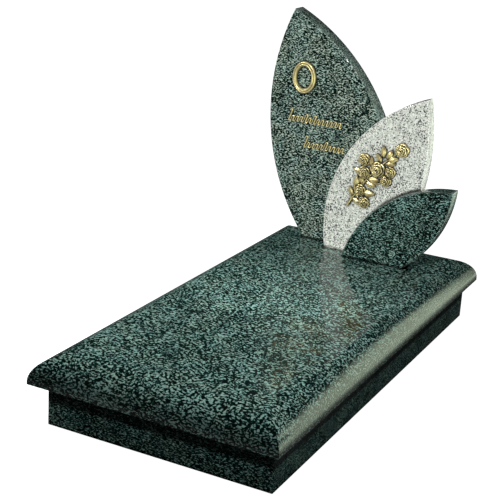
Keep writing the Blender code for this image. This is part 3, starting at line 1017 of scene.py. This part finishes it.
@made_once
def white_speckle(name):
    """Node group: white granite with grey patches, pale crystals and black specks."""
    group, given, result = new_group(
        name,
        [
            ("Vector", "Vector", None),
            ("Speck Width", "Float", 0.0035),
            ("White", "Color", (0.6, 0.6, 0.6, 1.0)),
            ("Patch", "Color", (0.4, 0.4, 0.4, 1.0)),
            ("Speck", "Color", (0.0, 0.0, 0.0, 1.0)),
        ],
        [("Color", "Color"), ("Speck", "Float")],
    )
    place = given["Vector"]
    scale = add_math(group, "DIVIDE", SPECK_WAVES, given["Speck Width"])
    patches = add_smooth(group, add_noise(group, place, PATCH_SCALE, 3.0, 0.65), *PATCH_STEP)
    ground = add_mix(group, patches, given["White"], given["Patch"])
    crystal = add_node(group, "ShaderNodeTexVoronoi", {"Vector": place, "Scale": scale})
    tone = add_node(group, "ShaderNodeSeparateColor", {0: crystal.outputs["Color"]}).outputs[0]
    bright = add_smooth(group, tone, 0.0, 1.0, *CRYSTAL_RANGE)
    crystals = add_mix(group, 1.0, ground, bright, "MULTIPLY")
    grain = add_noise(group, place, scale, 1.5, 0.6)
    cluster = add_noise(group, place, CLUSTER_SCALE, 2.0, 0.5)
    crowded = add_math(group, "MULTIPLY", add_math(group, "SUBTRACT", cluster, 0.5), CLUSTER_SHARE)
    specks = add_smooth(group, add_math(group, "ADD", grain, crowded), *SPECK_STEP)
    stone = add_mix(group, specks, crystals, given["Speck"])
    return put_out(group, result, Color=stone, Speck=specks)


@made_once
def polished_face(name):
    """Node group: how evenly a stone is polished, with a faint dust film and ripple."""
    group, given, result = new_group(
        name,
        [("Vector", "Vector", None), ("Roughness", "Float", 0.1), ("Grain", "Float", 0.0)],
        [("Roughness", "Float"), ("Height", "Float")],
    )
    place = given["Vector"]
    dust = add_noise(group, place, FILM_SCALE, 4.0, 0.6)
    film = add_smooth(group, dust, *FILM_STEP, *FILM_RANGE)
    dull = add_math(group, "MULTIPLY", given["Roughness"], film)
    rough = add_math(group, "ADD", dull, add_math(group, "MULTIPLY", given["Grain"], GRAIN_ROUGHNESS))
    ripple = add_noise(group, place, RIPPLE_SCALE, 2.0, 0.5)
    rippled = add_math(group, "MULTIPLY", ripple, RIPPLE_SHARE)
    height = add_math(group, "SUBTRACT", rippled, given["Grain"])
    return put_out(group, result, Roughness=rough, Height=height)


@made_once
def pale_arris(name):
    """Node group: the ground arrises of a stone are paler than its polished faces, partly a painted
    highlight.
    """
    group, given, result = new_group(
        name,
        [
            ("Color", "Color", (0.5, 0.5, 0.5, 1.0)),
            ("Arris", "Color", (0.6, 0.6, 0.6, 1.0)),
            ("Amount", "Float", 0.5),
        ],
        [("Color", "Color")],
    )
    # Painted highlight, in part: edges found by pointiness are lightened in the colour
    bent = add_node(group, "ShaderNodeNewGeometry").outputs["Pointiness"]
    edge = add_smooth(group, bent, *ARRIS_STEP)
    amount = add_math(group, "MULTIPLY", edge, given["Amount"])
    return put_out(group, result, Color=add_mix(group, amount, given["Color"], given["Arris"]))


@made_once
def contact_line(name):
    """Node group: painted shade, a thin darker line in a stone's colour along whatever stands on it or
    beside it.
    """
    group, given, result = new_group(
        name,
        [("Color", "Color", (0.5, 0.5, 0.5, 1.0)), ("Openness", "Float", 1.0), ("Darkening", "Float", 1.0)],
        [("Color", "Color")],
    )
    closed = add_smooth(group, given["Openness"], *CONTACT_SHADE_STEP, 1.0, 0.0)
    kept = add_math(group, "SUBTRACT", 1.0, add_math(group, "MULTIPLY", closed, given["Darkening"]))
    return put_out(group, result, Color=add_mix(group, 1.0, given["Color"], kept, "MULTIPLY"))


@made_once
def gilt_casting(name):
    """Node group: gilt that is bright on the crests, redder where it is thin, and dark in hollows with
    patina and painted shade.
    """
    group, given, result = new_group(
        name,
        [
            ("Vector", "Vector", None),
            ("Openness", "Float", 1.0),
            ("Gilt", "Color", (0.8, 0.6, 0.2, 1.0)),
            ("Warm", "Color", (0.6, 0.3, 0.1, 1.0)),
            ("Hollow", "Color", (0.05, 0.03, 0.02, 1.0)),
            ("Roughness", "Float", 0.25),
        ],
        [("Color", "Color"), ("Roughness", "Float"), ("Height", "Float")],
    )
    place = given["Vector"]
    crest = add_node(group, "ShaderNodeNewGeometry").outputs["Pointiness"]
    worn = add_smooth(group, crest, *WORN_STEP)
    patches = add_smooth(group, add_noise(group, place, THIN_SCALE, 3.0, 0.6), *THIN_STEP)
    thin = add_math(group, "MULTIPLY", patches, add_math(group, "SUBTRACT", 1.0, worn), clamp=True)
    gilded = add_mix(group, add_math(group, "MULTIPLY", thin, THIN_SHARE), given["Gilt"], given["Warm"])
    # Patina and painted shade: where the ambient occlusion closes, the gilt takes the dark hollow colour
    open_share = add_smooth(group, given["Openness"], *OPEN_STEP)
    metal = add_mix(group, open_share, given["Hollow"], gilded)
    grain = add_noise(group, place, CASTING_SCALE, 2.0, 0.5)
    dull = add_smooth(group, open_share, 0.0, 1.0, HOLLOW_ROUGHNESS, 0.0)
    coarse = add_math(group, "MULTIPLY", grain, CASTING_ROUGHNESS)
    rough = add_math(group, "ADD", add_math(group, "ADD", given["Roughness"], coarse), dull)
    return put_out(group, result, Color=metal, Roughness=rough, Height=grain)


def new_material(name, metallic=0.0, gloss=0.5):
    """A material with its shader, and the place on the piece as a vector."""
    material = bpy.data.materials.new(name)
    material.use_nodes = True
    tree = material.node_tree
    shader = tree.nodes["Principled BSDF"]
    shader.inputs["Metallic"].default_value = metallic
    shader.inputs["Specular IOR Level"].default_value = gloss
    place = add_node(tree, "ShaderNodeTexCoord").outputs["Object"]
    return material, tree, shader, place


def add_group(tree, group, inputs):
    """Place a node group and fill its inputs, colours included."""
    placed = tree.nodes.new("ShaderNodeGroup")
    placed.node_tree = group
    for name, value in inputs.items():
        fill_socket(tree, placed.inputs[name], value)
    return placed.outputs


def link_surface(tree, shader, color, roughness, height, bump_strength):
    """Give the shader its colour, its roughness and a bump."""
    tree.links.new(color, shader.inputs["Base Color"])
    tree.links.new(roughness, shader.inputs["Roughness"])
    bump = add_node(
        tree, "ShaderNodeBump", {"Height": height, "Strength": bump_strength, "Distance": BUMP_DISTANCE}
    )
    tree.links.new(bump.outputs["Normal"], shader.inputs["Normal"])


def dressed_stone(tree, place, settings, color, grain, arris_highlight_color, arris_highlight_amount):
    """A stone's colour with pale arrises, partly a painted highlight, with painted contact shade, and its
    polish.
    """
    polish = {"Vector": place, "Roughness": settings.polish, "Grain": grain}
    face = add_group(tree, polished_face(), polish)
    paler = {"Color": color, "Arris": arris_highlight_color, "Amount": arris_highlight_amount}
    arris = add_group(tree, pale_arris(), paler)
    # Painted shade: the colour darkens along contacts where the ambient occlusion closes
    reach = {"Distance": settings.contact}
    openness = add_node(tree, "ShaderNodeAmbientOcclusion", reach, samples=CONTACT_SHADE_SAMPLES).outputs["AO"]
    contact = {"Color": arris["Color"], "Openness": openness, "Darkening": CONTACT_SHADE_SHARE}
    return add_group(tree, contact_line(), contact)["Color"], face


def toned(shade, tone):
    """A colour with each channel multiplied by its share of the tone."""
    return [channel * share for channel, share in zip(shade, tone)]


def green_granite(stone, settings, painted_overhang_shade=False):
    """Polished green granite. Its flecks run along the stretched axis, after each grain's turn."""
    material, tree, shader, place = new_material(stone.name, gloss=stone.gloss)
    first, second = stone.grains
    flecks = add_group(
        tree,
        wavy_flecks(),
        {
            "Vector": place,
            "First Grain": Vector(first),
            "Second Grain": Vector(second),
            "Stretch": Vector(stone.stretch),
            "Fleck Width": settings.fleck,
            "Balance": stone.balance,
            "Dark": toned(settings.dark, stone.tone),
            "Middle": toned(settings.middle, stone.tone),
            "Light": toned(settings.light, [math.sqrt(share) for share in stone.tone]),
        },
    )
    color, face = dressed_stone(
        tree, place, settings, flecks["Color"], flecks["Fleck"], settings.arris_green, stone.arris
    )
    # Painted shadow of the slab's overhang, darkening the top of the kerb in its colour
    if painted_overhang_shade:
        height = add_node(tree, "ShaderNodeSeparateXYZ", {0: place}).outputs["Z"]
        shade_under_slab = add_smooth(tree, height, SLAB_LOW.z - OVERHANG_SHADE_END, SLAB_LOW.z - OVERHANG_SHADE_FULL, 1.0, OVERHANG_SHADE_TONE)
        color = add_mix(tree, 1.0, color, shade_under_slab, "MULTIPLY")
    link_surface(tree, shader, color, face["Roughness"], face["Height"], STONE_BUMP)
    return material


def white_granite(settings):
    """Polished white granite with fine black specks."""
    material, tree, shader, place = new_material("white_granite_polished", gloss=LEAF_GLOSS)
    speckle = add_group(
        tree,
        white_speckle(),
        {
            "Vector": place,
            "Speck Width": settings.speck_width,
            "White": settings.white,
            "Patch": settings.patch,
            "Speck": settings.speck,
        },
    )
    color, face = dressed_stone(
        tree, place, settings, speckle["Color"], speckle["Speck"], settings.arris_white, WHITE_ARRIS_HIGHLIGHT
    )
    link_surface(tree, shader, color, face["Roughness"], face["Height"], STONE_BUMP)
    return material


def gilt_bronze(name, settings, reach):
    """Gilt bronze, dark with patina and painted shade in its hollows. The reach is how far round a point
    its hollows are looked for.
    """
    material, tree, shader, place = new_material(name, metallic=BRONZE_METALLIC)
    openness = add_node(tree, "ShaderNodeAmbientOcclusion", {"Distance": reach}, samples=HOLLOW_SAMPLES)
    metal = add_group(
        tree,
        gilt_casting(),
        {
            "Vector": place,
            "Openness": openness.outputs["AO"],
            "Gilt": settings.gilt,
            "Warm": settings.warm,
            "Hollow": settings.hollow,
            "Roughness": settings.roughness,
        },
    )
    link_surface(tree, shader, metal["Color"], metal["Roughness"], metal["Height"], BRONZE_BUMP)
    return material


# Stage


def stage_face(name, corners, material):
    """A single face of the stage."""
    mesh = bpy.data.meshes.new(name)
    mesh.from_pydata(corners, [], [(0, 1, 2, 3)])
    mesh.materials.append(material)
    piece = bpy.data.objects.new(name, mesh)
    bpy.context.scene.collection.objects.link(piece)
    return piece


def floor(settings):
    """A wide floor just under the kerb, white to the camera and dimmer as a light on the stones.

    The polish mirrors its brightness only on the monument's right.
    """
    material, tree, shader, place = new_material("pale_floor")
    path = add_node(tree, "ShaderNodeLightPath").outputs
    axes = add_node(tree, "ShaderNodeSeparateXYZ", {0: place}).outputs
    beside = add_smooth(tree, axes["X"], *MIRRORED_STEP)
    mirrored = add_math(tree, "MULTIPLY", path["Is Glossy Ray"], beside)
    seen = add_math(tree, "MAXIMUM", path["Is Camera Ray"], mirrored)
    cloud = add_noise(tree, place, FLOOR_CLOUD_SCALE, 3.0, 0.5)
    worn = add_smooth(tree, cloud, *FLOOR_CLOUD_STEP, *FLOOR_CLOUD_RANGE)
    tint = add_mix(tree, 1.0, settings.floor, worn, "MULTIPLY")
    thrown = add_mix(tree, 1.0, tint, (settings.bounce,) * 3, "MULTIPLY")
    tree.links.new(add_mix(tree, path["Is Camera Ray"], thrown, tint), shader.inputs["Base Color"])
    shader.inputs["Roughness"].default_value = FLOOR_ROUGHNESS
    shade = add_mix(tree, path["Is Camera Ray"], PANEL_TINT, PURE_WHITE)
    tree.links.new(shade, shader.inputs["Emission Color"])
    strength = add_mix(tree, path["Is Camera Ray"], (settings.mirrored,) * 3, (settings.glow,) * 3)
    tree.links.new(add_math(tree, "MULTIPLY", seen, strength), shader.inputs["Emission Strength"])
    edge, level = FLOOR_HALF, FLOOR_LEVEL
    corners = [(-edge, -edge, level), (edge, -edge, level), (edge, edge, level), (-edge, edge, level)]
    stage_face("pale_floor", corners, material)


def soft_sky(settings):
    """White behind the monument and an even soft light, with dim surroundings for the polish."""
    world = bpy.data.worlds.new("soft_sky")
    bpy.context.scene.world = world
    world.use_nodes = True
    tree = world.node_tree
    tree.nodes.clear()
    path = add_node(tree, "ShaderNodeLightPath").outputs
    unseen = add_mix(tree, path["Is Glossy Ray"], (settings.sky,) * 3, settings.dim)
    light = add_mix(tree, path["Is Camera Ray"], unseen, PURE_WHITE)
    soft = add_node(tree, "ShaderNodeBackground", {"Color": light, "Strength": 1.0})
    add_node(tree, "ShaderNodeOutputWorld", {"Surface": soft.outputs[0]})


def pale_panel(settings):
    """An upright panel behind the monument on the right, which only the polish shows."""
    material, tree, shader, place = new_material("pale_panel")
    axes = add_node(tree, "ShaderNodeSeparateXYZ", {0: place}).outputs
    across = add_smooth(tree, axes["X"], PANEL_LOW[0], PANEL_LOW[0] + PANEL_FADE)
    upward = add_smooth(tree, axes["Z"], PANEL_HIGH[2] - PANEL_FADE * 2, PANEL_HIGH[2], 1.0, 0.0)
    shade = add_math(tree, "MULTIPLY", add_math(tree, "MULTIPLY", across, upward), settings.panel)
    shader.inputs["Base Color"].default_value = (0.0, 0.0, 0.0, 1.0)
    shader.inputs["Emission Color"].default_value = (*PANEL_TINT, 1.0)
    tree.links.new(shade, shader.inputs["Emission Strength"])
    (left, back, low), (right, _, high) = PANEL_LOW, PANEL_HIGH
    corners = [(left, back, low), (right, back, low), (right, back, high), (left, back, high)]
    piece = stage_face("pale_panel", corners, material)
    piece.visible_camera = False
    piece.visible_diffuse = False
    piece.visible_shadow = False


def spot_lamp(name, watts, lamp):
    """A round spot lamp at its place, turned to its target."""
    light = bpy.data.lights.new(name, "SPOT")
    light.energy = watts
    light.spot_size = lamp.cone
    light.spot_blend = lamp.blend
    light.shadow_soft_size = lamp.radius
    piece = bpy.data.objects.new(name, light)
    bpy.context.scene.collection.objects.link(piece)
    piece.location = lamp.place
    towards = Vector(lamp.target) - Vector(lamp.place)
    piece.rotation_euler = towards.to_track_quat("-Z", "Y").to_euler()
    return piece


def photo_camera():
    """The camera at the photograph's viewing angle."""
    lens = bpy.data.cameras.new("photo_camera")
    lens.sensor_width = SENSOR_WIDTH
    lens.lens = CAMERA_FOCAL_PIXELS * SENSOR_WIDTH / IMAGE_WIDTH
    lens.clip_end = 200.0
    camera = bpy.data.objects.new("photo_camera", lens)
    bpy.context.scene.collection.objects.link(camera)
    turn = Matrix.Rotation(CAMERA_AZIMUTH, 4, "Z")
    turn @= Matrix.Rotation(math.pi / 2 - CAMERA_PITCH, 4, "X")
    turn @= Matrix.Rotation(CAMERA_ROLL, 4, "Z")
    camera.matrix_world = Matrix.Translation(CAMERA_PLACE) @ turn
    bpy.context.scene.camera = camera


# Operators, one for each group of like pieces


class MONUMENT_OT_kerb(bpy.types.Operator):
    """Build the four kerb stones"""

    bl_idname = "monument.kerb"
    bl_label = "Kerb Stones"

    def execute(self, context):
        granite = context.scene.monument.granite
        # The kerb stones get a painted shadow under the slab's overhang
        material = green_granite(KERB_STONE, granite, painted_overhang_shade=True)
        for node in ("kerb_foot", "kerb_left", "kerb_right", "kerb_head_block"):
            kerb_stone(node, material, granite.kerb_arris)
        return {"FINISHED"}


class MONUMENT_OT_slab(bpy.types.Operator):
    """Build the covering slab with its moulded edge"""

    bl_idname = "monument.slab"
    bl_label = "Covering Slab"

    def execute(self, context):
        granite = context.scene.monument.granite
        covering_slab(green_granite(SLAB_STONE, granite))
        return {"FINISHED"}


class MONUMENT_OT_leaves(bpy.types.Operator):
    """Build the three leaf-shaped stones of the headstone"""

    bl_idname = "monument.leaves"
    bl_label = "Headstone Leaves"

    def execute(self, context):
        granite = context.scene.monument.granite
        leaf_stone(TALL, green_granite(TALL_STONE, granite), granite.arris)
        leaf_stone(WHITE, white_granite(granite), granite.arris)
        leaf_stone(SMALL, green_granite(SMALL_STONE, granite), granite.arris)
        return {"FINISHED"}


class MONUMENT_OT_photo_frame(bpy.types.Operator):
    """Build the oval bead for the photograph"""

    bl_idname = "monument.photo_frame"
    bl_label = "Photo Frame"

    def execute(self, context):
        photo_frame(gilt_bronze("frame_gilt", context.scene.monument.bronze, FRAME_HOLLOWS))
        return {"FINISHED"}


class MONUMENT_OT_gilt_rows(bpy.types.Operator):
    """Build the two rows of gilt strokes"""

    bl_idname = "monument.gilt_rows"
    bl_label = "Gilt Rows"

    def execute(self, context):
        material = gilt_bronze("row_gilt", context.scene.monument.bronze, ROW_HOLLOWS)
        for row in (UPPER_ROW, LOWER_ROW):
            gilt_row(row, material)
        return {"FINISHED"}


class MONUMENT_OT_spray(bpy.types.Operator):
    """Build the bronze spray of roses"""

    bl_idname = "monument.spray"
    bl_label = "Bronze Spray"

    def execute(self, context):
        bronze_spray(gilt_bronze("spray_gilt", context.scene.monument.bronze, SPRAY_HOLLOWS))
        return {"FINISHED"}


class MONUMENT_OT_stage(bpy.types.Operator):
    """Build the floor, the soft light, the panel, the lamps and the camera"""

    bl_idname = "monument.stage"
    bl_label = "Stage"

    def execute(self, context):
        stage = context.scene.monument.stage
        floor(stage)
        soft_sky(stage)
        pale_panel(stage)
        spot_lamp("headstone_spot", stage.headstone_spot, HEADSTONE_SPOT)
        spot_lamp("slab_spot", stage.slab_spot, SLAB_SPOT).visible_glossy = False
        spot_lamp("side_spot", stage.side_spot, SIDE_SPOT).visible_glossy = False
        spot_lamp("gilt_spot", stage.gilt_spot, GILT_SPOT).visible_diffuse = False
        photo_camera()
        context.scene.view_settings.view_transform = "Standard"
        return {"FINISHED"}


OPERATORS = (
    MONUMENT_OT_kerb,
    MONUMENT_OT_slab,
    MONUMENT_OT_leaves,
    MONUMENT_OT_photo_frame,
    MONUMENT_OT_gilt_rows,
    MONUMENT_OT_spray,
    MONUMENT_OT_stage,
)


class VIEW3D_PT_monument(bpy.types.Panel):
    """Lists the pieces of the monument and their settings"""

    bl_idname = "VIEW3D_PT_monument"
    bl_label = "Grave Monument"
    bl_space_type = "VIEW_3D"
    bl_region_type = "UI"
    bl_category = "Monument"

    def draw(self, context):
        settings = context.scene.monument
        for group in (settings.granite, settings.bronze, settings.stage):
            box = self.layout.box()
            for name in group.__annotations__:
                box.prop(group, name)
        for operator in OPERATORS:
            self.layout.operator(operator.bl_idname)


CLASSES = (
    GraniteProperties,
    BronzeProperties,
    StageProperties,
    MonumentProperties,
    *OPERATORS,
    VIEW3D_PT_monument,
)


def register():
    for cls in CLASSES:
        bpy.utils.register_class(cls)
    bpy.types.Scene.monument = PointerProperty(
        type=MonumentProperties, name="Monument", description="Settings of the grave monument"
    )


def unregister():
    del bpy.types.Scene.monument
    for cls in reversed(CLASSES):
        bpy.utils.unregister_class(cls)


def main():
    register()
    bpy.ops.monument.kerb()
    bpy.ops.monument.slab()
    bpy.ops.monument.leaves()
    bpy.ops.monument.photo_frame()
    bpy.ops.monument.gilt_rows()
    bpy.ops.monument.spray()
    bpy.ops.monument.stage()


if __name__ == "__main__":
    main()
